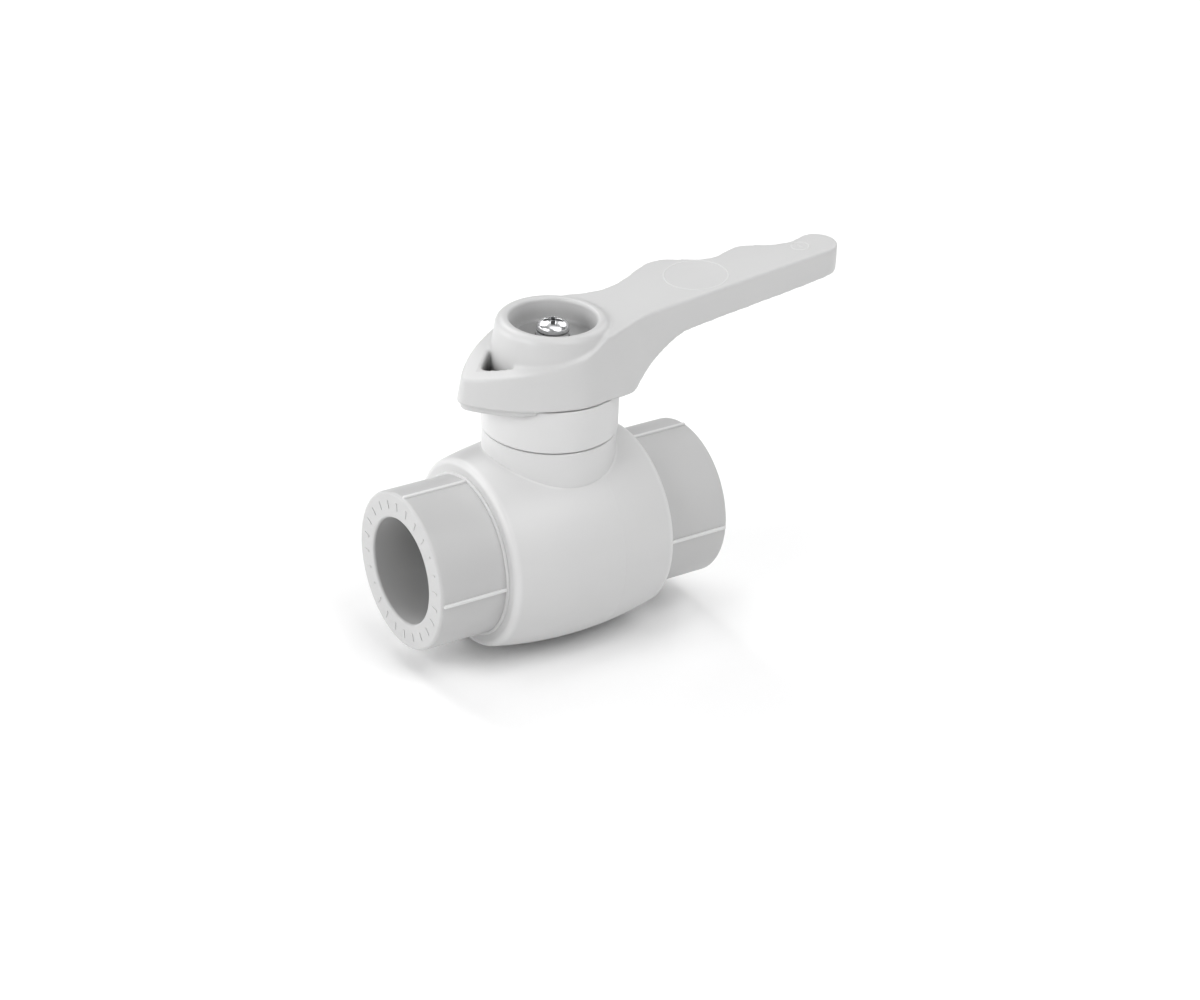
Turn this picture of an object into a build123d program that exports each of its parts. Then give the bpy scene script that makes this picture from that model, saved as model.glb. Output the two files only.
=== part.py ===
from build123d import *
from math import cos, hypot, radians, sin
import os

# In-line quarter-turn ball valve for 32 mm polypropylene pipe, joined by heat fusion.
# The origin is the ball's centre, where the pipe axis (X) crosses the stem axis (Z).
# The lever lies along +X when the valve is open.

# Pipe line
LENGTH = 97.0
SOCKET_R = 23.4
SOCKET_BORE_R = 15.65
SOCKET_DEPTH = 18.1
SOCKET_EDGE = 1.0
MOUTH_EDGE = 0.8
PASSAGE_R = 10.5
RIB_WIDTH = 1.0
RIB_HEIGHT = 0.35
RIBS = 4
TICKS = 24

# Barrel and neck
BARREL_HALF = 26.9
BARREL_END_R = 27.7
BARREL_MID_R = 30.75
BARREL_EDGE = 1.9
NECK_R = 19.0
NECK_TOP_R = 19.4
NECK_TOP = 35.2
EDGE_ROUND = 0.4
NECK_SEAT_R = 16.5
NECK_SEAT_DEPTH = 1.0

# Brass core
CORE_R = 22.0
CORE_HALF = 21.0
CORE_BORE_R = 19.0
CORE_NECK_R = 13.0
CORE_SPIGOT_R = 12.0
CORE_SPIGOT_TOP = 44.5
FIT = 0.05

# Ball and its seats
BALL_R = 17.5
SLOT_HALF = 3.1
SLOT_FLOOR = 12.5
SEAT_R = 15.5
SEAT_NEAR = 10.0
SEAT_FAR = 16.5
SEAT_GAP = 0.15
SEAT_RING_R = 14.0
SEAT_RING_SECTION = 0.9
CARRIER_NEAR = 9.0
CARRIER_WEB = 18.4
JOINT_RING_R = 20.5
JOINT_RING_SECTION = 0.85

# Stem and its packing
STEM_R = 6.0
STEM_GAP = 0.05
TANG_HALF = 2.8
TANG_WIDTH = 11.0
TANG_BOTTOM = 12.8
COLLAR_R = 9.0
COLLAR_BOTTOM = 18.4
COLLAR_TOP = 21.0
THRUST_TOP = 22.0
STEM_RING_SECTION = 1.3
STEM_RING_HEIGHTS = {"lower_stem_ring": 25.6, "upper_stem_ring": 30.2}
PACKING_R = 9.0
PACKING_BOTTOM = 34.0
PACKING_TOP = 37.4
GLAND_TOP = 43.5
FLATS_BOTTOM = 49.3
FLATS_HALF = 4.3
STEM_TOP = 60.3
TAPPED_DEPTH = 13.0

# Neck cap with the travel stop
CAP_R = 19.7
CAP_BOTTOM = 35.65
CAP_TOP = 48.5
CAP_HOLE_R = 7.0
STOP_INNER_R = 11.0
STOP_OUTER_R = 14.2
STOP_TOP = 54.0
TRAVEL = 90.0
LUG_ANGLE = 12.0
LUG_PLAY = 1.5

# Handle: collar, hub and beak
HANDLE_BOTTOM = 48.9
HANDLE_CEILING = 76.0
DRAFT = 0.14
COLLAR_OUTER_R = 20.0
BEAK_TIP = 30.4
BEAK_TIP_R = 4.0
BEAK_TURN = 105.0
BEAK_WALL = 6.5
SKIRT_BOTTOM = 46.9
SKIRT_INSET = 1.1
SKIRT_FADE = (-18.0, 8.0)
HUB_FOOT_R = 18.6
HUB_SHOULDER_R = 16.4
HUB_SHOULDER_Z = 66.8
HUB_CROWN_R = 14.4
HUB_CROWN_Z = 69.0
RECESS_R = 12.5
RECESS_EDGE = 0.6
RECESS_FLOOR = 62.0
FLOOR_UNDERSIDE = 59.0
PLATE_UNDERSIDE = 60.4
BOSS_R = 8.5
BOSS_BOTTOM = 51.0
CAVITY_R = 16.6
CAVITY_TOP_R = 15.4
SCREW_HOLE_R = 2.8

# Lever
LEVER_END = 97.6
LEVER_TIP_R = 6.7
LEVER_WALL = 2.2
LEVER_SKIN = 2.6
RIB_STATIONS = (52.0, 66.0, 79.0)

# M5 screw set
SCREW_R = 2.45
SCREW_LENGTH = 14.0
HEAD_R = 4.6
HEAD_HEIGHT = 3.2
HEAD_ROUND = 2.1
CROSS_WIDTH = 5.4
CROSS_ARM = 1.25
CROSS_DEPTH = 1.7
CROSS_TURN = 58.0
FLAT_WASHER_R = 5.0
FLAT_WASHER_THICK = 1.2
SPRING_WASHER_R = 4.6
SPRING_WASHER_THICK = 1.9
WASHER_HOLE_R = 2.65


def disc(radius, low, high):
    """A cylinder about Z between two heights."""
    return Pos(0, 0, (low + high) / 2) * Cylinder(radius, high - low)


def ring(outer, inner, low, high):
    """A tube about Z between two heights."""
    return disc(outer, low, high) - disc(inner, low - 1, high + 1)


def along_x(shape, side=1):
    """Turn a shape made about Z so that its axis runs along +X, or along -X for side -1."""
    return Rot(0, 90 * side, 0) * shape


def turned(points):
    """Revolve a closed outline of (radius, height) points about Z."""
    outline = Plane.XZ * make_face(Polyline(*points, close=True))
    return revolve(outline, Axis.Z)


def torus(radius, section, height):
    return Pos(0, 0, height) * Torus(radius, section)


def sector(outer, inner, low, high, start, sweep):
    """A ring segment that starts at an angle and runs anticlockwise through a sweep."""
    steps = max(2, int(sweep // 30))
    reach = outer * 1.6
    spread = [radians(start + sweep * i / steps) for i in range(steps + 1)]
    rim = [(reach * cos(angle), reach * sin(angle)) for angle in spread]
    wedge = extrude(make_face(Polyline((0, 0), *rim, close=True)), high - low)
    return ring(outer, inner, low, high) & (Pos(0, 0, low) * wedge)


# ---- barrel, sockets and core -------------------------------------------------------------

def barrel_shell():
    """Bulging barrel and round neck in one moulding, over the brass core."""
    bulge = Line((BARREL_HALF, 0), (BARREL_HALF, BARREL_END_R))
    bulge += ThreePointArc((BARREL_HALF, BARREL_END_R), (0, BARREL_MID_R), (-BARREL_HALF, BARREL_END_R))
    bulge += Line((-BARREL_HALF, BARREL_END_R), (-BARREL_HALF, 0))
    bulge += Line((-BARREL_HALF, 0), (BARREL_HALF, 0))
    barrel = revolve(Plane.XZ * make_face(bulge), Axis.X)
    ends = [edge for edge in barrel.edges().filter_by(GeomType.CIRCLE)
            if abs(edge.radius - BARREL_END_R) < 0.1]
    barrel = fillet(ends, BARREL_EDGE)
    neck = Pos(0, 0, NECK_TOP / 2) * Cone(NECK_R, NECK_TOP_R, NECK_TOP)
    shell = barrel + neck
    shell -= along_x(disc(CORE_R + FIT, -BARREL_HALF - 1, BARREL_HALF + 1))
    shell -= disc(CORE_NECK_R + FIT, 0, NECK_TOP + 1)
    shell -= disc(NECK_SEAT_R, NECK_TOP - NECK_SEAT_DEPTH, NECK_TOP + 1)
    rim = shell.edges().filter_by(GeomType.CIRCLE).sort_by(Axis.Z)[-2:].sort_by(SortBy.RADIUS)[-1]
    return fillet(rim, EDGE_ROUND)


def core_housing():
    """Brass cartridge inside the barrel, with the stem's neck forged on."""
    housing = along_x(disc(CORE_R, -CORE_HALF, CORE_HALF))
    housing += disc(CORE_NECK_R, 0, NECK_TOP - NECK_SEAT_DEPTH)
    housing += disc(CORE_SPIGOT_R, 0, CORE_SPIGOT_TOP)
    housing -= along_x(disc(CORE_BORE_R, -CORE_HALF - 1, CORE_HALF + 1))
    housing -= disc(COLLAR_R + 0.3, 0, THRUST_TOP)
    housing -= disc(STEM_R + STEM_GAP, 0, CORE_SPIGOT_TOP + 1)
    housing -= disc(PACKING_R + FIT, PACKING_BOTTOM, CORE_SPIGOT_TOP + 1)
    return housing


def socket():
    """Plain fusion socket along +X, with a spigot that seats in the barrel."""
    half = LENGTH / 2
    body = disc(SOCKET_R, BARREL_HALF, half)
    body = fillet(body.edges().group_by(Axis.Z)[-1], SOCKET_EDGE)
    body += disc(CORE_R, CORE_HALF + 0.1, BARREL_HALF)
    body -= disc(PASSAGE_R, 0, half)
    body -= disc(SOCKET_BORE_R, half - SOCKET_DEPTH, half)
    mouth = body.edges().group_by(Axis.Z)[-1].sort_by(SortBy.RADIUS)[0]
    body = fillet(mouth, MOUTH_EDGE)
    groove = JOINT_RING_SECTION + 0.1
    body -= ring(JOINT_RING_R + groove, JOINT_RING_R - groove, CORE_HALF, CORE_HALF + 2 * groove)
    rib_end = half - SOCKET_EDGE
    rib = Pos(SOCKET_R, 0, (BARREL_HALF + rib_end) / 2)
    rib *= Box(2 * RIB_HEIGHT, RIB_WIDTH, rib_end - BARREL_HALF)
    tick = Pos((SOCKET_R + SOCKET_BORE_R) / 2, 0, half) * Box(2.4, 0.6, 0.3)
    body += [Rot(0, 0, 360 * i / RIBS) * rib for i in range(RIBS)]
    body += [Rot(0, 0, 360 * (i + 0.5) / TICKS) * tick for i in range(TICKS)]
    return body


def seat():
    """PTFE ring with a spherical face that bears on the ball."""
    return ring(SEAT_R, PASSAGE_R, SEAT_NEAR, SEAT_FAR) - Sphere(BALL_R + SEAT_GAP)


def seat_ring():
    return torus(SEAT_RING_R, SEAT_RING_SECTION, SEAT_FAR + SEAT_RING_SECTION)


def carrier():
    """Screwed brass ring that holds a seat and its elastomer ring."""
    cup = disc(CORE_BORE_R - FIT, CARRIER_NEAR, CORE_HALF)
    cup -= disc(SEAT_R + FIT, CARRIER_NEAR - 1, CARRIER_WEB)
    cup -= disc(PASSAGE_R, CARRIER_NEAR, CORE_HALF + 1)
    spanner_slot = Pos(0, 0, CORE_HALF) * Box(2 * CORE_BORE_R + 2, 3, 1.6)
    return cup - (spanner_slot - disc(PASSAGE_R + 3, 0, CORE_HALF + 1))


def joint_ring():
    return torus(JOINT_RING_R, JOINT_RING_SECTION, CORE_HALF + 0.1 + JOINT_RING_SECTION)


# ---- ball and stem ------------------------------------------------------------------------

def ball():
    """Bored ball with a slot across its top for the stem's tang."""
    sphere = Sphere(BALL_R)
    bore = along_x(disc(PASSAGE_R, -BALL_R, BALL_R))
    slot = Pos(0, 0, SLOT_FLOOR + BALL_R / 2) * Box(2 * SLOT_HALF, 2 * BALL_R, BALL_R)
    return sphere - bore - slot


def stem():
    """Brass stem: tang, collar, two ring grooves, flats and a tapped end."""
    shaft = disc(STEM_R, COLLAR_BOTTOM, STEM_TOP) + disc(COLLAR_R, COLLAR_BOTTOM, COLLAR_TOP)
    tang = Box(2 * TANG_HALF, TANG_WIDTH, COLLAR_BOTTOM - TANG_BOTTOM)
    shaft += Pos(0, 0, (COLLAR_BOTTOM + TANG_BOTTOM) / 2) * tang
    for height in STEM_RING_HEIGHTS.values():
        half = STEM_RING_SECTION + 0.1
        shaft -= ring(STEM_R + 1, STEM_R - 2 * STEM_RING_SECTION, height - half, height + half)
    flats = FLATS_BOTTOM + (STEM_TOP - FLATS_BOTTOM) / 2
    for side in (-1, 1):
        cheek = Box(2 * STEM_R, STEM_R, STEM_TOP - FLATS_BOTTOM + 0.001)
        shaft -= Pos(0, side * (FLATS_HALF + STEM_R / 2), flats) * cheek
    shaft -= disc(SCREW_R + FIT, STEM_TOP - TAPPED_DEPTH, STEM_TOP + 1)
    return chamfer(shaft.edges().group_by(Axis.Z)[-1].filter_by(GeomType.CIRCLE).sort_by(
        SortBy.RADIUS)[-1:], 0.4)


def stem_ring(height):
    return torus(STEM_R - STEM_RING_SECTION, STEM_RING_SECTION - 0.02, height)


def thrust_washer():
    return ring(COLLAR_R, STEM_R + STEM_GAP, COLLAR_TOP + 0.1, THRUST_TOP)


def packing_ring():
    return ring(PACKING_R, STEM_R + STEM_GAP, PACKING_BOTTOM, PACKING_TOP)


def gland_nut():
    """Brass nut with two spanner slots that holds the packing down."""
    nut = ring(PACKING_R, STEM_R + 2 * STEM_GAP, PACKING_TOP, GLAND_TOP)
    return nut - Pos(0, 0, GLAND_TOP) * Box(2 * PACKING_R + 2, 2, 2)


# ---- neck cap -----------------------------------------------------------------------------

def neck_cap():
    """Cap screwed on the core's neck; its raised ring segment stops the handle's lug."""
    cap = disc(CAP_R, CAP_BOTTOM, CAP_TOP)
    cap = fillet(cap.edges().filter_by(GeomType.CIRCLE), EDGE_ROUND)
    cap += disc(NECK_SEAT_R - 0.1, NECK_TOP - NECK_SEAT_DEPTH, CAP_BOTTOM)
    cap -= disc(CORE_SPIGOT_R + FIT, 0, CORE_SPIGOT_TOP + 0.5)
    cap -= disc(CAP_HOLE_R, 0, CAP_TOP + 1)
    opening = TRAVEL + LUG_ANGLE + 2 * LUG_PLAY
    start = 180 + LUG_ANGLE / 2 + LUG_PLAY
    return cap + sector(STOP_OUTER_R, STOP_INNER_R, CAP_TOP - 1, STOP_TOP, start, 360 - opening)


# ---- handle -------------------------------------------------------------------------------

def flank_centre():
    """Centre and radius of the arc that runs from the collar's circle to the beak's tip."""
    turn = radians(BEAK_TURN)
    tip_x = -BEAK_TIP + BEAK_TIP_R
    inner = COLLAR_OUTER_R - BEAK_TIP_R
    reach = (tip_x ** 2 - inner ** 2) / (2 * inner + 2 * cos(turn) * -tip_x)
    return -reach * cos(turn), reach * sin(turn), reach + COLLAR_OUTER_R


def teardrop(inset, height):
    """Collar and beak outline, moved inwards by an inset, at a height."""
    flank_x, flank_y, flank_r = flank_centre()
    tip_x = -BEAK_TIP + BEAK_TIP_R
    span = hypot(flank_x - tip_x, flank_y)
    out_x = (tip_x - flank_x) / span
    out_y = flank_y / span
    collar_r = COLLAR_OUTER_R - inset
    tip_r = BEAK_TIP_R - inset
    join_x = collar_r * cos(radians(BEAK_TURN))
    join_y = collar_r * sin(radians(BEAK_TURN))
    end_x = tip_x + tip_r * out_x
    end_y = tip_r * out_y
    middle = hypot(join_x + end_x - 2 * flank_x, join_y + end_y + 2 * flank_y) / 2
    scale = (flank_r - inset) / middle
    mid_x = flank_x + scale * ((join_x + end_x) / 2 - flank_x)
    mid_y = -flank_y + scale * ((join_y + end_y) / 2 + flank_y)
    outline = ThreePointArc((join_x, -join_y), (collar_r, 0), (join_x, join_y))
    outline += ThreePointArc((join_x, join_y), (mid_x, mid_y), (end_x, end_y))
    outline += ThreePointArc((end_x, end_y), (tip_x - tip_r, 0), (end_x, -end_y))
    outline += ThreePointArc((end_x, -end_y), (mid_x, -mid_y), (join_x, -join_y))
    return Pos(0, 0, height) * make_face(outline)


def beak_hole():
    """Rounded triangle between the beak's two walls and the hub."""
    flank_x, flank_y, flank_r = flank_centre()
    height = HANDLE_CEILING - SKIRT_BOTTOM + 2
    walls = [Pos(flank_x, side * flank_y) * Cylinder(flank_r - BEAK_WALL, height) for side in (-1, 1)]
    gap = walls[0] & walls[1] & (Pos(-BEAK_TIP / 2, 0) * Box(BEAK_TIP, 40, height))
    tip = gap.edges().filter_by(Axis.Z).sort_by(Axis.X)[0]
    return Pos(0, 0, SKIRT_BOTTOM - 1 + height / 2) * fillet(tip, 1.6)


def lever_outline(height, flare):
    """Lever plan: straight near side, finger waves on the far side; flare widens its root."""
    tip_x = LEVER_END - LEVER_TIP_R
    near = [(0, -17.2 - flare), (8, -15.8 - 1.1 * flare), (16, -12.9 - 1.8 * flare),
            (23, -10.7 - 1.4 * flare), (33, -9.8 - 0.4 * flare), (60, -8.5), (tip_x, -7.1)]
    far = [(tip_x, 6.1), (79, 7.0), (70.5, 11.2), (61, 9.4), (53.5, 13.2), (46, 17.4),
           (35, 14.0), (23, 10.6 + 0.5 * flare), (15.6, 12.3 + 1.8 * flare),
           (8, 15.4 + 1.1 * flare), (0, 17.2 + flare)]
    outline = Spline(*near)
    outline += ThreePointArc(near[-1], (LEVER_END, -0.4), far[0])
    outline += Spline(*far)
    outline += Line(far[-1], near[0])
    return Pos(0, 0, height) * make_face(outline)


def side_profile():
    """Side view of the whole handle: sloping collar top, then the lever's top and underside."""
    top = Line((-40, 53.8), (-2, 63.2))
    top += Spline((-2, 63.2), (4.5, 65.4), (9, 67.33), tangents=[(0.97, 0.24), (1, 0.074)])
    top += Line((9, 67.33), (110, 74.8))
    under = Polyline((110, 74.8), (110, 66.9), (92, 64.75), (49, 60.4), (39, 59.4), (35.2, 58.0),
                     (17.9, 49.2), (16.4, HANDLE_BOTTOM), (-40, HANDLE_BOTTOM), (-40, 53.8))
    profile = Plane.XZ * make_face(top + under)
    return extrude(profile, 60, both=True)


def skirt_fade():
    """Side view of the skirt, whose lower edge rises into the collar on the lever's side."""
    start, end = SKIRT_FADE
    side = Polyline((-40, SKIRT_BOTTOM), (start, SKIRT_BOTTOM), (end, HANDLE_BOTTOM + 0.3),
                    (end, HANDLE_BOTTOM + 1), (-40, HANDLE_BOTTOM + 1), close=True)
    return extrude(Plane.XZ * make_face(side), 40, both=True)


def hub():
    """Tapered round hub with a rounded crown."""
    shoulder = (HUB_SHOULDER_R, HUB_SHOULDER_Z)
    crown = (HUB_CROWN_R, HUB_CROWN_Z)
    bulge = (0.4 * HUB_SHOULDER_R + 0.6 * HUB_CROWN_R + 0.35,
             0.4 * HUB_SHOULDER_Z + 0.6 * HUB_CROWN_Z + 0.3)
    outline = Polyline((0, HUB_CROWN_Z), (0, HANDLE_BOTTOM), (HUB_FOOT_R, HANDLE_BOTTOM), shoulder)
    outline += ThreePointArc(shoulder, bulge, crown)
    outline += Line(crown, (0, HUB_CROWN_Z))
    return revolve(Plane.XZ * make_face(outline), Axis.Z)


def lever_pockets():
    """Hollows under the lever, parted by cross ribs, below an even top skin."""
    rib = 1.8
    stations = [38.0, *RIB_STATIONS, 90.0]
    pockets = []
    for start, end in zip(stations, stations[1:]):
        low_x = start + rib / 2
        high_x = end - rib / 2
        near = -9.4 + 0.042 * (low_x - 33) + LEVER_WALL
        far = min(9.2, 6.2 + max(0, 79 - high_x) * 0.3) - LEVER_WALL
        box = Box(high_x - low_x, far - near, 40)
        box = fillet(box.edges().filter_by(Axis.Z), 1.2)
        pockets.append(Pos((low_x + high_x) / 2, (near + far) / 2, 40) * box)
    ceiling = Plane.XZ * make_face(Polyline((30, 0), (30, 68.88 - LEVER_SKIN), (100, 74.06 - LEVER_SKIN),
                                            (100, 0), close=True))
    return (pockets[0] + pockets[1:]) & extrude(ceiling, 30, both=True)


def stem_socket():
    """Double-D hole in the handle's boss for the stem's flats."""
    hole = disc(STEM_R + FIT, BOSS_BOTTOM - 1, PLATE_UNDERSIDE)
    return hole & (Pos(0, 0, 55) * Box(20, 2 * (FLATS_HALF + FIT), 20))


def handle():
    """Hub, beak, collar and lever in one moulding, hollow from below."""
    inset = DRAFT * (HANDLE_CEILING - HANDLE_BOTTOM)
    collar = loft([teardrop(0, HANDLE_BOTTOM), teardrop(inset, HANDLE_CEILING)], ruled=True)
    lever = loft([lever_outline(HANDLE_BOTTOM, 2.8), lever_outline(HANDLE_CEILING, -0.9)], ruled=True)
    blank = (collar + lever) & side_profile()
    skirt = extrude(teardrop(SKIRT_INSET, SKIRT_BOTTOM), HANDLE_BOTTOM - SKIRT_BOTTOM + 1)
    skirt &= skirt_fade()
    blank += skirt - disc(CAP_R + 0.4, 40, HANDLE_BOTTOM)
    blank -= beak_hole()
    blank += hub()
    blank -= disc(RECESS_R, RECESS_FLOOR, HANDLE_CEILING)
    blank -= Pos(0, 0, HUB_CROWN_Z) * Cone(RECESS_R, RECESS_R + 2 * RECESS_EDGE, 2 * RECESS_EDGE)
    cavity = turned([(BOSS_R, 0), (CAVITY_R, 0), (CAVITY_R, HANDLE_BOTTOM),
                     (CAVITY_TOP_R, FLOOR_UNDERSIDE), (BOSS_R, FLOOR_UNDERSIDE)])
    lug = sector(CAVITY_R + 1, BOSS_R - 1, HANDLE_BOTTOM + 0.8, FLOOR_UNDERSIDE + 1,
                 180 - LUG_ANGLE / 2, LUG_ANGLE)
    blank -= cavity - lug
    blank -= disc(BOSS_R + 0.5, HANDLE_BOTTOM - 3, BOSS_BOTTOM)
    blank -= stem_socket()
    blank -= disc(SCREW_HOLE_R, PLATE_UNDERSIDE - 1, RECESS_FLOOR + 1)
    return blank - lever_pockets()


# ---- screw set ----------------------------------------------------------------------------

def flat_washer():
    return ring(FLAT_WASHER_R, WASHER_HOLE_R, RECESS_FLOOR, RECESS_FLOOR + FLAT_WASHER_THICK)


def spring_washer():
    """Split washer with one end lifted."""
    low = RECESS_FLOOR + FLAT_WASHER_THICK
    coil = ring(SPRING_WASHER_R, WASHER_HOLE_R, low, low + SPRING_WASHER_THICK)
    slot = Rot(0, 0, 170) * Pos(3.6, 0, low) * Rot(20, 0, 0) * Box(4, 0.5, 6)
    return coil - slot


def handle_screw():
    """M5 pan-head screw with a cross recess."""
    seat_z = RECESS_FLOOR + FLAT_WASHER_THICK + SPRING_WASHER_THICK
    head = disc(HEAD_R, seat_z, seat_z + HEAD_HEIGHT)
    head = fillet(head.edges().group_by(Axis.Z)[-1], HEAD_ROUND)
    cross = Box(CROSS_WIDTH, CROSS_ARM, 2 * CROSS_DEPTH) + Box(CROSS_ARM, CROSS_WIDTH, 2 * CROSS_DEPTH)
    head -= Pos(0, 0, seat_z + HEAD_HEIGHT) * Rot(0, 0, CROSS_TURN) * cross
    return head + disc(SCREW_R, seat_z - SCREW_LENGTH, seat_z)


# ---- write each piece to its own file ------------------------------------------------------

def pieces():
    made = {
        "barrel_shell": barrel_shell(),
        "core_housing": core_housing(),
        "neck_cap": neck_cap(),
        "ball": ball(),
        "stem": stem(),
        "thrust_washer": thrust_washer(),
        "packing_ring": packing_ring(),
        "gland_nut": gland_nut(),
        "handle": handle(),
        "flat_washer": flat_washer(),
        "spring_washer": spring_washer(),
        "handle_screw": handle_screw(),
    }
    for name, height in STEM_RING_HEIGHTS.items():
        made[name] = stem_ring(height)
    ends = {"socket": socket, "seat": seat, "seat_ring": seat_ring, "carrier": carrier,
            "joint_ring": joint_ring}
    for name, build in ends.items():
        made["inlet_" + name] = along_x(build(), -1)
        made["outlet_" + name] = along_x(build())
    return made


os.makedirs("parts", exist_ok=True)
for node, shape in pieces().items():
    export_step(shape, f"parts/{node}.step")
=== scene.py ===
from math import asin, atan, cos, hypot, pi, radians, sin

import bmesh
import bpy
from mathutils import Euler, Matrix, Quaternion, Vector


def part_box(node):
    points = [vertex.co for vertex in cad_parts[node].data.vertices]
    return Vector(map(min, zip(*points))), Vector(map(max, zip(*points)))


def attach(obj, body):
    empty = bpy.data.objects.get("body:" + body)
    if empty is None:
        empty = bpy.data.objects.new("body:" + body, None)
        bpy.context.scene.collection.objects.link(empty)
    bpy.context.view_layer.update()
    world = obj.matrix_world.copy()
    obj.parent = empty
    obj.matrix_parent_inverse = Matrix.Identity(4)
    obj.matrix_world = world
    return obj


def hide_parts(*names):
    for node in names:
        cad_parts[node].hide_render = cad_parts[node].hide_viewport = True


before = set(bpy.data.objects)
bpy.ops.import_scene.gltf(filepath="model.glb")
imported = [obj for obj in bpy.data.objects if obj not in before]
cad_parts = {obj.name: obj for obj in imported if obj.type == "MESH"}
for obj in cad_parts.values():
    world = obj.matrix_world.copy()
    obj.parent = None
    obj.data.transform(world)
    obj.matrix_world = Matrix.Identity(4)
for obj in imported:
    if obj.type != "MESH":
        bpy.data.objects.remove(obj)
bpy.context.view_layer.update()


# ---- camera ---------------------------------------------------------------------------------
# The camera looks from the inlet's side and a little above, with a slight roll. Its place is in
# metres from the ball's centre, which is the origin.

VIEW_AZIMUTH = radians(-34.32)
VIEW_ELEVATION = radians(28.44)
VIEW_ROLL = radians(2.7)
VIEW_PLACE = (-0.40896, -0.62668, 0.41638)
LENS = 88.0

back = Vector((sin(VIEW_AZIMUTH) * cos(VIEW_ELEVATION), -cos(VIEW_AZIMUTH) * cos(VIEW_ELEVATION),
               sin(VIEW_ELEVATION)))
camera = bpy.data.objects.new("camera", bpy.data.cameras.new("camera"))
camera.data.lens = LENS
camera.data.sensor_width = 36.0
camera.data.clip_start = 0.01
camera.location = VIEW_PLACE
camera.rotation_mode = "QUATERNION"
camera.rotation_quaternion = (-back).to_track_quat("-Z", "Y") @ Quaternion((0, 0, 1), VIEW_ROLL)
bpy.context.scene.collection.objects.link(camera)
bpy.context.scene.camera = camera
bpy.context.scene.view_settings.view_transform = "Standard"


# ---- floor and studio light -----------------------------------------------------------------
# A plain white table top and seven soft boxes round it, stronger on the left. The far table and
# the room look white to the camera's own rays only. The barrel rests on the table.

class Value:
    """A socket's value, so that shader maths can be written as sums."""

    def __init__(self, finish, socket):
        self.finish = finish
        self.socket = socket

    def __add__(self, other):
        return self.finish.maths("ADD", self, other)

    def __radd__(self, other):
        return self.finish.maths("ADD", other, self)

    def __sub__(self, other):
        return self.finish.maths("SUBTRACT", self, other)

    def __rsub__(self, other):
        return self.finish.maths("SUBTRACT", other, self)

    def __mul__(self, other):
        return self.finish.maths("MULTIPLY", self, other)

    def __rmul__(self, other):
        return self.finish.maths("MULTIPLY", other, self)

    def __abs__(self):
        return self.finish.maths("ABSOLUTE", self)

    def __pow__(self, other):
        return self.finish.maths("POWER", self, other)


class Finish:
    """A material on one Principled shader, with a method that adds any node."""

    def __init__(self, name, color, roughness, **settings):
        self.material = bpy.data.materials.new(name)
        self.material.use_nodes = True
        self.tree = self.material.node_tree
        self.shader = self.tree.nodes["Principled BSDF"]
        self.shader.inputs["Base Color"].default_value = (*color, 1)
        self.shader.inputs["Roughness"].default_value = roughness
        for socket, value in settings.items():
            self.shader.inputs[socket.replace("_", " ")].default_value = value
        self.place = self.node("ShaderNodeTexCoord", out="Object")

    def node(self, kind, settings=None, inputs=None, out=0):
        made = self.tree.nodes.new(kind)
        for name, value in (settings or {}).items():
            setattr(made, name, value)
        for socket, value in (inputs or {}).items():
            self.feed(made.inputs[socket], value)
        return Value(self, made.outputs[out])

    def feed(self, socket, value):
        if isinstance(value, Value):
            self.tree.links.new(value.socket, socket)
        else:
            socket.default_value = value

    def maths(self, operation, first, second=0.0):
        return self.node("ShaderNodeMath", {"operation": operation}, {0: first, 1: second})

    def mix(self, share, first, second):
        colors = [value if isinstance(value, Value) else (*value, 1) for value in (first, second)]
        return self.node("ShaderNodeMix", {"data_type": "RGBA"},
                         {"Factor": share, "A": colors[0], "B": colors[1]}, out=2)

    def noise(self, scale, detail=3.0, stretch=(1, 1, 1)):
        spot = self.node("ShaderNodeMapping", None, {"Vector": self.place, "Scale": stretch})
        return self.node("ShaderNodeTexNoise", None, {"Vector": spot, "Scale": scale, "Detail": detail})

    def xyz(self):
        split = self.node("ShaderNodeSeparateXYZ", None, {0: self.place})
        outputs = split.socket.node.outputs
        return [Value(self, outputs[axis]) for axis in range(3)]

    def rise(self, value, start, end):
        """0 below a start, 1 above an end, smooth between."""
        return self.node("ShaderNodeMapRange", {"interpolation_type": "SMOOTHSTEP"},
                         {"Value": value, "From Min": start, "From Max": end})

    def tint(self, share, color):
        """Lay a second colour over the base colour, by its share."""
        self.tone = self.mix(share, self.tone, color)
        self.set("Base Color", self.tone)

    def set(self, socket, value):
        self.feed(self.shader.inputs[socket], value)

    def bump(self, height, distance, strength=1.0):
        relief = self.node("ShaderNodeBump", None,
                           {"Height": height, "Distance": distance, "Strength": strength})
        self.set("Normal", relief)


FLOOR_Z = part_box("barrel_shell")[0][2]
FAR_TABLE = (0.3, 1.2)

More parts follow.
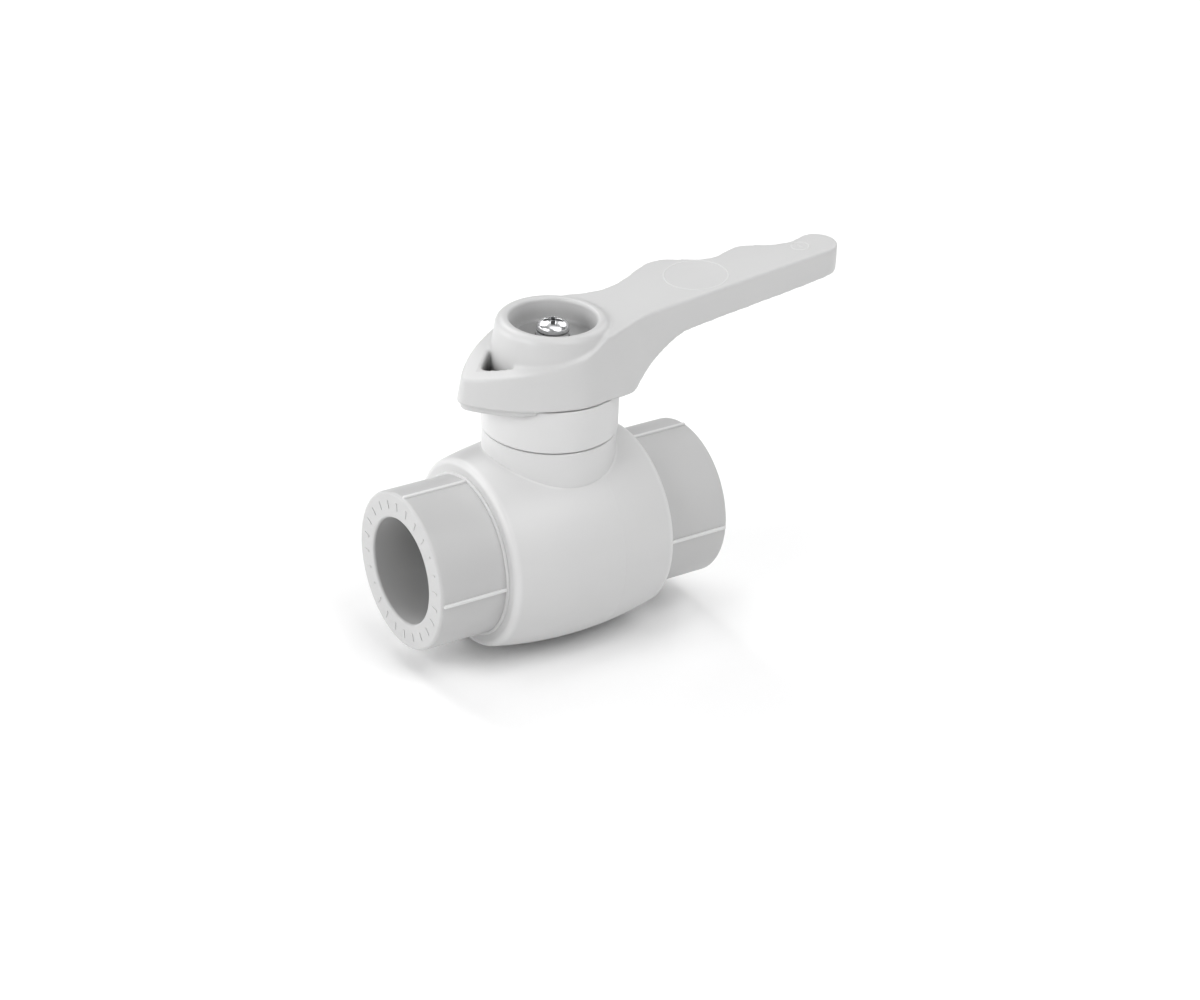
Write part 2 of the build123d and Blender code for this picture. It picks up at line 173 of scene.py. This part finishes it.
table_finish = Finish("table_white", (0.93, 0.93, 0.93), 0.7)
table_finish.set("Roughness", 0.6 + 0.15 * table_finish.noise(30.0))
seen = table_finish.node("ShaderNodeLightPath", out="Is Camera Ray")
across, along = table_finish.xyz()[:2]
far_off = table_finish.rise((across * across + along * along) ** 0.5, FAR_TABLE[0], FAR_TABLE[1])
table_finish.set("Emission Color", table_finish.mix(seen * far_off, (0, 0, 0), (1, 1, 1)))
table_finish.set("Emission Strength", 1.0)
mesh = bmesh.new()
bmesh.ops.create_grid(mesh, x_segments=1, y_segments=1, size=6.0)
bmesh.ops.translate(mesh, verts=mesh.verts, vec=(0, 0, FLOOR_Z))
floor_data = bpy.data.meshes.new("table_top")
mesh.to_mesh(floor_data)
mesh.free()
floor_data.materials.append(table_finish.material)
floor = bpy.data.objects.new("table_top", floor_data)
bpy.context.scene.collection.objects.link(floor)


LIGHT_DISTANCE = 1.15
ROOM_LIGHT = 0.10


def soft_light(name, turn, height, size, power):
    """A square area light, turned anticlockwise from the camera's side and raised, in degrees."""
    angle = VIEW_AZIMUTH - radians(turn)
    place = Vector((sin(angle) * cos(radians(height)), -cos(angle) * cos(radians(height)),
                    sin(radians(height)))) * LIGHT_DISTANCE
    data = bpy.data.lights.new(name, "AREA")
    data.size = size
    data.energy = power
    lamp = bpy.data.objects.new(name, data)
    lamp.location = place
    lamp.rotation_euler = (-place).to_track_quat("-Z", "Y").to_euler()
    bpy.context.scene.collection.objects.link(lamp)


soft_light("key_light", 50, 30, 0.6, 6.6)
soft_light("low_left_light", 95, 8, 0.6, 5.6)
soft_light("back_left_light", 140, 45, 0.6, 5.4)
soft_light("fill_light", -50, 55, 0.6, 6.1)
soft_light("top_light", 0, 82, 0.55, 1.3)
soft_light("low_fill_light", -50, 25, 0.6, 1.8)
soft_light("back_right_light", -140, 40, 0.6, 3.4)

room = bpy.data.worlds.new("white_room")
room.use_nodes = True
backdrop = room.node_tree.nodes["Background"]
backdrop.inputs["Color"].default_value = (1, 1, 1, 1)
seen = room.node_tree.nodes.new("ShaderNodeLightPath").outputs["Is Camera Ray"]
brightness = room.node_tree.nodes.new("ShaderNodeMapRange")
brightness.inputs["To Min"].default_value = ROOM_LIGHT
room.node_tree.links.new(seen, brightness.inputs["Value"])
room.node_tree.links.new(brightness.outputs["Result"], backdrop.inputs["Strength"])
bpy.context.scene.world = room


# ---- barrel ---------------------------------------------------------------------------------
# One injection moulding in light grey polypropylene, with the neck on top. It is satin, faintly
# cloudy and finely grained. A raised hair line stands for the mould's parting line. The neck and
# the rings at the barrel's ends carry a painted highlight: they are tinted a little lighter.

MOULD_LINE_X = 0.0085
MOULD_LINE_WIDTH = 0.00026
MOULD_LINE_HEIGHT = 0.00003
BARREL_GREY = 0.585


def grey(shade):
    """A neutral colour."""
    return (shade, shade, shade)


def moulded_plastic(name, shade, roughness=0.40, grain=0.35):
    """Satin polypropylene: cloudy grey, uneven gloss and a fine mould grain."""
    finish = Finish(name, grey(shade), roughness, Specular_IOR_Level=0.42)
    cloud = finish.noise(38.0, 4.0)
    flow = finish.noise(90.0, 2.0, stretch=(0.25, 1.0, 1.0))
    tone = 0.65 * cloud + 0.35 * flow
    warm = (shade * 1.035, shade * 1.035, shade * 1.03)
    cool = (shade * 0.955, shade * 0.955, shade * 0.96)
    finish.tone = finish.mix(tone, cool, warm)
    finish.set("Base Color", finish.tone)
    finish.set("Roughness", roughness - 0.07 + 0.14 * cloud)
    fine = finish.noise(2600.0, 2.0)
    coarse = finish.noise(420.0, 3.0)
    finish.bump(0.7 * fine + 0.3 * coarse, 0.00002, grain)
    return finish


def dress(node, finish):
    """Give a CAD node one finish."""
    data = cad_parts[node].data
    data.materials.clear()
    data.materials.append(finish.material)


def new_piece(name, mesh, finish, body):
    """Turn a finished bmesh into a piece that rides on a body."""
    data = bpy.data.meshes.new(name)
    mesh.to_mesh(data)
    mesh.free()
    data.polygons.foreach_set("use_smooth", [True] * len(data.polygons))
    data.materials.append(finish.material)
    piece = bpy.data.objects.new(name, data)
    bpy.context.scene.collection.objects.link(piece)
    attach(piece, body)
    return piece


def bead_ring(radius, width, height, steps=160):
    """A closed ring of lens-shaped section about Z."""
    mesh = bmesh.new()
    bmesh.ops.create_circle(mesh, cap_ends=False, radius=width / 2, segments=10)
    bmesh.ops.scale(mesh, verts=mesh.verts, vec=(1, 2 * height / width, 1))
    bmesh.ops.rotate(mesh, verts=mesh.verts, matrix=Euler((pi / 2, 0, 0)).to_matrix())
    bmesh.ops.translate(mesh, verts=mesh.verts, vec=(radius, 0, 0))
    bmesh.ops.spin(mesh, geom=mesh.verts[:] + mesh.edges[:], axis=(0, 0, 1), cent=(0, 0, 0),
                   angle=2 * pi, steps=steps, use_merge=True)
    bmesh.ops.remove_doubles(mesh, verts=mesh.verts, dist=1e-7)
    bmesh.ops.recalc_face_normals(mesh, faces=mesh.faces)
    return mesh


def about(finish, axis):
    """Distance of a point from the X axis (0) or the Z axis (2)."""
    first, second = [value for index, value in enumerate(finish.xyz()) if index != axis]
    return (first * first + second * second) ** 0.5


def barrel_radius(x):
    """Radius of the barrel at a station along the pipe, from a cut through its mesh."""
    mesh = bmesh.new()
    mesh.from_mesh(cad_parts["barrel_shell"].data)
    cut = bmesh.ops.bisect_plane(mesh, geom=mesh.verts[:] + mesh.edges[:] + mesh.faces[:],
                                 plane_co=(x, 0, 0), plane_no=(1, 0, 0))["geom_cut"]
    corners = [item.co for item in cut if isinstance(item, bmesh.types.BMVert)]
    radius = max(hypot(corner.y, corner.z) for corner in corners if corner.z < 0)
    mesh.free()
    return radius


BARREL_END_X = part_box("barrel_shell")[1][0]
NECK_R = 0.0190
NECK_FOOT_Z = (0.0240, 0.0250)
END_HIGHLIGHT_X = (BARREL_END_X - 0.0024, BARREL_END_X - 0.0010)
END_HIGHLIGHT_R = (0.0258, 0.0266)

barrel_plastic = moulded_plastic("barrel_plastic", BARREL_GREY)
# Painted highlight: the rings at the barrel's ends are tinted lighter.
end_highlight = barrel_plastic.rise(abs(barrel_plastic.xyz()[0]), *END_HIGHLIGHT_X)
end_highlight = end_highlight * barrel_plastic.rise(about(barrel_plastic, 0), *END_HIGHLIGHT_R)
barrel_plastic.tint(0.20 * end_highlight, grey(0.80))
# Painted highlight: the neck is tinted lighter than the rest of the barrel.
neck_highlight = 1 - barrel_plastic.rise(about(barrel_plastic, 2), NECK_R + 0.0006, NECK_R + 0.0012)
neck_highlight = neck_highlight * barrel_plastic.rise(barrel_plastic.xyz()[2], *NECK_FOOT_Z)
barrel_plastic.tint(0.30 * neck_highlight, grey(0.72))
dress("barrel_shell", barrel_plastic)

line_radius = barrel_radius(MOULD_LINE_X)
neck_angle = asin((NECK_R ** 2 - MOULD_LINE_X ** 2) ** 0.5 / line_radius)
line = bmesh.new()
bmesh.ops.create_circle(line, cap_ends=False, radius=MOULD_LINE_WIDTH / 2, segments=8)
bmesh.ops.scale(line, verts=line.verts, vec=(1, 2 * MOULD_LINE_HEIGHT / MOULD_LINE_WIDTH, 1))
bmesh.ops.translate(line, verts=line.verts, vec=(0, line_radius, 0))
bmesh.ops.rotate(line, verts=line.verts, matrix=Euler((pi / 2 - neck_angle, 0, 0)).to_matrix())
bmesh.ops.spin(line, geom=line.verts[:] + line.edges[:], axis=(1, 0, 0), cent=(0, 0, 0),
               angle=-2 * (pi - neck_angle), steps=150, use_merge=False)
bmesh.ops.translate(line, verts=line.verts, vec=(MOULD_LINE_X, 0, 0))
bmesh.ops.holes_fill(line, edges=line.edges, sides=8)
bmesh.ops.recalc_face_normals(line, faces=line.faces)
new_piece("barrel_mould_line", line, barrel_plastic, "body")


# ---- sockets --------------------------------------------------------------------------------
# Plain fusion sockets in a slightly darker grey, each with a soft bead where it meets the barrel
# and four thin ribs along it, painted lighter as a highlight on the same plastic. The bore carries
# painted shade, darker towards its inner end.

SOCKET_GREY = 0.485
SOCKET_R = 0.0234
RIB_WIDTH = 0.0011
RIB_HEIGHT = 0.0006
RIB_START = 0.0262
RIB_END = 0.0479
BEAD_WIDTH = 0.0015
RIB_EDGE = 0.00035
BORE_R = 0.01565
MOUTH_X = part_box("outlet_socket")[1][0]
BORE_SHADE_X = (0.030, MOUTH_X - 0.001)

socket_plastic = moulded_plastic("socket_plastic", SOCKET_GREY, roughness=0.42, grain=0.45)
# Painted shade: the bore is tinted darker, most of all towards its inner end.
bore_shade_mask = 1 - socket_plastic.rise(about(socket_plastic, 0), BORE_R + 0.0001, BORE_R + 0.0005)
bore_depth_shade = 1 - socket_plastic.rise(abs(socket_plastic.xyz()[0]), *BORE_SHADE_X)
socket_plastic.tint(bore_shade_mask * (0.10 + 0.34 * bore_depth_shade), grey(0.16))
# Painted highlight: the ribs are a lighter copy of the socket's plastic.
rib_highlight_plastic = moulded_plastic("rib_highlight_plastic", 0.66, roughness=0.38)
for side, way in (("inlet", -1), ("outlet", 1)):
    dress(side + "_socket", socket_plastic)
    ribs = bmesh.new()
    for quarter in range(4):
        rib = bmesh.ops.create_cube(ribs, size=1.0)["verts"]
        bmesh.ops.scale(ribs, verts=rib, vec=(RIB_END - RIB_START, RIB_WIDTH, 2 * RIB_HEIGHT))
        bmesh.ops.translate(ribs, verts=rib, vec=(way * (RIB_START + RIB_END) / 2, 0, SOCKET_R))
        bmesh.ops.rotate(ribs, verts=rib, matrix=Euler((quarter * pi / 2, 0, 0)).to_matrix())
    bmesh.ops.bevel(ribs, geom=ribs.edges, offset=RIB_EDGE, segments=4, profile=0.5, affect="EDGES",
                    material=-1)
    new_piece(side + "_socket_ribs", ribs, rib_highlight_plastic, "body")
    bead = bead_ring(SOCKET_R + 0.0001, BEAD_WIDTH, BEAD_WIDTH / 2, steps=180)
    bmesh.ops.rotate(bead, verts=bead.verts, matrix=Euler((0, pi / 2, 0)).to_matrix())
    bmesh.ops.translate(bead, verts=bead.verts, vec=(way * BARREL_END_X, 0, 0))
    new_piece(side + "_weld_bead", bead, barrel_plastic, "body")


# ---- brass core, carriers and gland ---------------------------------------------------------
# Turned brass, inside the barrel and the neck cap. The finish has fine rings, about the pipe's
# axis on the core and carriers and about the stem's on the gland, and an uneven tarnish.

def turned_brass(name, color, roughness, axis):
    """Turned brass: rings about an axis (0 for X, 2 for Z) and a slight tarnish."""
    finish = Finish(name, color, roughness, Metallic=1.0)
    along = finish.xyz()[axis]
    rings = finish.maths("SINE", along * 9000.0)
    tarnish = finish.noise(120.0, 4.0)
    dark = tuple(0.82 * channel for channel in color)
    finish.set("Base Color", finish.mix(tarnish, dark, color))
    finish.set("Roughness", roughness + 0.18 * tarnish)
    finish.bump(rings + tarnish, 0.00001, 0.3)
    return finish


core_brass = turned_brass("core_brass", (0.72, 0.53, 0.26), 0.22, 0)
for node in ("core_housing", "inlet_carrier", "outlet_carrier"):
    dress(node, core_brass)
dress("gland_nut", turned_brass("gland_brass", (0.74, 0.55, 0.28), 0.24, 2))


# ---- stem -----------------------------------------------------------------------------------
# Brass, with a tang below that turns the ball and milled flats at the top that carry the handle.
# The finish is the turned brass of the core, a little brighter.

dress("stem", turned_brass("stem_brass", (0.76, 0.58, 0.30), 0.18, 2))


# ---- seats, washers and packing -------------------------------------------------------------
# PTFE rings: the two seats the ball turns in, the washer under the stem and the gland's packing.
# The finish is milky white and waxy, with a faint haze.

ptfe = Finish("seat_ptfe", (0.84, 0.84, 0.82), 0.32, Specular_IOR_Level=0.3)
ptfe_haze = ptfe.noise(160.0, 3.0)
ptfe.set("Base Color", ptfe.mix(ptfe_haze, (0.80, 0.80, 0.78), (0.88, 0.88, 0.87)))
ptfe.set("Roughness", 0.26 + 0.14 * ptfe_haze)
ptfe.bump(ptfe.noise(1500.0), 0.00001, 0.3)
for node in ("inlet_seat", "outlet_seat", "thrust_washer", "packing_ring"):
    dress(node, ptfe)


# ---- rubber rings ---------------------------------------------------------------------------
# Black rubber O-rings behind the seats, at the socket joints and in the stem's grooves. The
# finish is matt, with a faint grey haze that varies over them.

rubber = Finish("ring_rubber", (0.018, 0.018, 0.019), 0.55)
bloom = rubber.noise(200.0, 4.0)
rubber.set("Base Color", rubber.mix(bloom, (0.012, 0.012, 0.013), (0.035, 0.035, 0.036)))
rubber.set("Roughness", 0.45 + 0.25 * bloom)
for node in ("inlet_seat_ring", "outlet_seat_ring", "inlet_joint_ring", "outlet_joint_ring",
             "lower_stem_ring", "upper_stem_ring"):
    dress(node, rubber)


# ---- ball -----------------------------------------------------------------------------------
# Brass ball with a through bore, chromium plated. The finish is bright, and fine streaks along
# the stem's axis vary its tone and gloss.

ball_chrome = Finish("ball_chrome", (0.74, 0.75, 0.77), 0.07, Metallic=1.0)
scratch = ball_chrome.noise(700.0, 3.0, stretch=(1.0, 1.0, 0.08))
ball_chrome.set("Base Color", ball_chrome.mix(scratch, (0.66, 0.67, 0.69), (0.80, 0.81, 0.83)))
ball_chrome.set("Roughness", 0.04 + 0.12 * scratch)
ball_chrome.bump(scratch, 0.000004, 0.3)
dress("ball", ball_chrome)


# ---- neck cap -------------------------------------------------------------------------------
# A cylinder of the same plastic that closes the neck and carries the travel stop. The finish is
# slightly lighter and glossier than the barrel's.

dress("neck_cap", moulded_plastic("cap_plastic", 0.63, roughness=0.34, grain=0.25))


# ---- handle ---------------------------------------------------------------------------------
# Hub, beak and lever are one thick moulding. Its edges are rounded by smoothing an even mesh of
# the CAD shape, and most of all above the rim and outside the crown. The recess and the beak's
# hole carry painted shade: they are tinted darker.

HANDLE_VOXEL = 0.00042
HANDLE_RIM_Z = 0.0500
LEVER_ROUNDS = 6
RIM_ROUNDS = 3
CRISP_CROWN_R = 0.0145
RECESS_WALL_R = (0.0122, 0.0128)
RECESS_SHADE_Z = (0.0640, 0.0676)
RECESS_FLOOR_Z = (0.0621, 0.0630)
BEAK_HOLE_X = -0.0240
BEAK_HOLE_EDGE = (0.0006, 0.0014)
BEAK_HOLE_END_X = (-0.0170, -0.0160)
BEAK_HOLE_Z = (0.0530, 0.0590)


def moulded_copy(node, voxel):
    """The shape of a CAD node as one even mesh, ready to be rounded."""
    mesh = bmesh.new()
    mesh.from_mesh(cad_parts[node].data)
    bmesh.ops.remove_doubles(mesh, verts=mesh.verts, dist=1e-6)
    data = bpy.data.meshes.new(node + "_even")
    mesh.to_mesh(data)
    mesh.free()
    blank = bpy.data.objects.new(node + "_even", data)
    bpy.context.scene.collection.objects.link(blank)
    even = blank.modifiers.new("even", "REMESH")
    even.mode = "VOXEL"
    even.voxel_size = voxel
    shape = blank.evaluated_get(bpy.context.evaluated_depsgraph_get()).to_mesh()
    mesh = bmesh.new()
    mesh.from_mesh(shape)
    bpy.data.objects.remove(blank)
    return mesh


def round_off(mesh, verts, times):
    """Round the edges among some vertices by smoothing them several times."""
    for _ in range(times):
        bmesh.ops.smooth_vert(mesh, verts=verts, factor=0.5, use_axis_x=True, use_axis_y=True,
                              use_axis_z=True)


handle_plastic = moulded_plastic("handle_plastic", 0.55, roughness=0.38)
along, across, up = handle_plastic.xyz()
# Painted shade: the recess is tinted darker below its rim, and a little more on its floor.
recess_shade_mask = 1 - handle_plastic.rise(about(handle_plastic, 2), *RECESS_WALL_R)
wall_shade = 1 - handle_plastic.rise(up, *RECESS_SHADE_Z)
floor_shade = 1 - handle_plastic.rise(up, *RECESS_FLOOR_Z)
handle_plastic.tint(recess_shade_mask * (0.62 * wall_shade + 0.05 * floor_shade), grey(0.20))
# Painted shade: the inside of the beak's hole is tinted nearly black.
past_wall = abs(across) - (along - BEAK_HOLE_X)
beak_hole_shade = 1 - handle_plastic.rise(past_wall, *BEAK_HOLE_EDGE)
beak_hole_shade = beak_hole_shade * (1 - handle_plastic.rise(along, *BEAK_HOLE_END_X))
beak_hole_shade = beak_hole_shade * (1 - handle_plastic.rise(up, *BEAK_HOLE_Z))
handle_plastic.tint(0.95 * beak_hole_shade, grey(0.05))
mesh = moulded_copy("handle", HANDLE_VOXEL)
round_off(mesh, mesh.verts, RIM_ROUNDS)
round_off(mesh, [v for v in mesh.verts
                 if v.co.z > HANDLE_RIM_Z and hypot(v.co.x, v.co.y) > CRISP_CROWN_R], LEVER_ROUNDS)
handle = new_piece("lever_handle", mesh, handle_plastic, "handle")
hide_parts("handle")


# ---- marks on the lever ---------------------------------------------------------------------
# Plain marks in fine raised lines on the lever's sloping top: a large ring nearer the hub, and a
# small ring with a dash near the tip. They are a lighter copy of the handle's plastic, a painted
# highlight.

LEVER_TOP_Z = 0.06667
LEVER_SLOPE = 0.0737
MARK_HEIGHT = 0.00010
MARK_WIDTH = 0.00050
BIG_RING_R = 0.0094
BIG_RING_PLACE = (0.0502, 0.0022)
SMALL_RING_R = 0.0026
SMALL_RING_PLACE = (0.0860, 0.0002)

# Painted highlight: the marks are a lighter, glossier copy of the handle's plastic.
mark_highlight_plastic = moulded_plastic("mark_highlight_plastic", 0.60, roughness=0.32, grain=0.2)


def lay_on_lever(mesh, x, y):
    """Tilt a flat mark to the lever's slope and set it on the top face."""
    bmesh.ops.rotate(mesh, verts=mesh.verts, matrix=Euler((0, -atan(LEVER_SLOPE), 0)).to_matrix())
    bmesh.ops.translate(mesh, verts=mesh.verts, vec=(x, y, LEVER_TOP_Z + LEVER_SLOPE * x))
    return mesh


big_ring = lay_on_lever(bead_ring(BIG_RING_R, MARK_WIDTH, MARK_HEIGHT), *BIG_RING_PLACE)
new_piece("lever_ring_mark", big_ring, mark_highlight_plastic, "handle")
small_ring = bead_ring(SMALL_RING_R, MARK_WIDTH, MARK_HEIGHT, steps=64)
lay_on_lever(small_ring, *SMALL_RING_PLACE)
new_piece("tip_ring_mark", small_ring, mark_highlight_plastic, "handle")
dash = bmesh.new()
bmesh.ops.create_cube(dash, size=1.0)
bmesh.ops.scale(dash, verts=dash.verts, vec=(MARK_WIDTH, SMALL_RING_R, 2 * MARK_HEIGHT))
bmesh.ops.bevel(dash, geom=dash.edges, offset=0.00006, segments=2, profile=0.5, affect="EDGES",
                material=-1)
lay_on_lever(dash, *SMALL_RING_PLACE)
new_piece("tip_dash_mark", dash, mark_highlight_plastic, "handle")


# ---- handle screw and washers ---------------------------------------------------------------
# M5 pan-head screw, spring washer and flat washer, in steel with bright zinc. The head's top is
# made a low dome and the edges are softened. The cross and the seams between the three carry
# painted shade: they are dark.

HEAD_R = 0.0046
EDGE_R = 0.0021
HEAD_SEAT_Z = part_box("spring_washer")[1][2]
HEAD_TOP_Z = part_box("handle_screw")[1][2]
DOME_FOOT_Z = HEAD_SEAT_Z + 0.0008
WASHER_SEAM_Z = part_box("flat_washer")[1][2]
SEAM_SHADE_EDGE = (0.00015, 0.00040)
CROSS_R = (0.0025, 0.0030)
CROSS_Z = (HEAD_TOP_Z - 0.0016, HEAD_TOP_Z - 0.0006)

zinc = Finish("bright_zinc", (0.80, 0.81, 0.83), 0.28, Metallic=1.0)
peel = zinc.noise(900.0, 2.0)
wear = zinc.noise(350.0, 4.0)
zinc.tone = zinc.mix(wear, (0.78, 0.79, 0.80), (0.95, 0.95, 0.96))
up = zinc.xyz()[2]
# Painted shade: the seams between the head and the two washers are darkened.
for seam in (HEAD_SEAT_Z, WASHER_SEAM_Z):
    zinc.tint(0.85 * (1 - zinc.rise(abs(up - seam), *SEAM_SHADE_EDGE)), grey(0.06))
# Painted shade: the screw's cross recess is darkened.
cross_shade = 1 - zinc.rise(about(zinc, 2), *CROSS_R)
cross_shade = cross_shade * (1 - zinc.rise(up, *CROSS_Z))
zinc.tint(0.8 * cross_shade, grey(0.05))
zinc.set("Roughness", 0.22 + 0.14 * wear)
zinc.bump(peel, 0.00002, 0.35)


def crown(mesh):
    """Turn the screw head's flat top and round edge into one low dome."""
    for vert in mesh.verts:
        reach = min(hypot(vert.co.x, vert.co.y), HEAD_R)
        inset = max(0.0, reach - HEAD_R + EDGE_R)
        before = HEAD_TOP_Z - EDGE_R + (EDGE_R ** 2 - inset ** 2) ** 0.5
        after = DOME_FOOT_Z + (HEAD_TOP_Z - DOME_FOOT_Z) * (1 - (reach / HEAD_R) ** 2) ** 0.5
        share = (vert.co.z - HEAD_SEAT_Z) / (before - HEAD_SEAT_Z)
        if share > 0:
            vert.co.z += min(share, 1.0) * (after - before)


for node, voxel, rounds in (("handle_screw", 0.00011, 3), ("spring_washer", 0.00009, 3),
                            ("flat_washer", 0.00011, 2)):
    mesh = moulded_copy(node, voxel)
    if node == "handle_screw":
        crown(mesh)
    round_off(mesh, mesh.verts, rounds)
    fastener = new_piece(node + "_zinc", mesh, zinc, "handle")
    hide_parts(node)
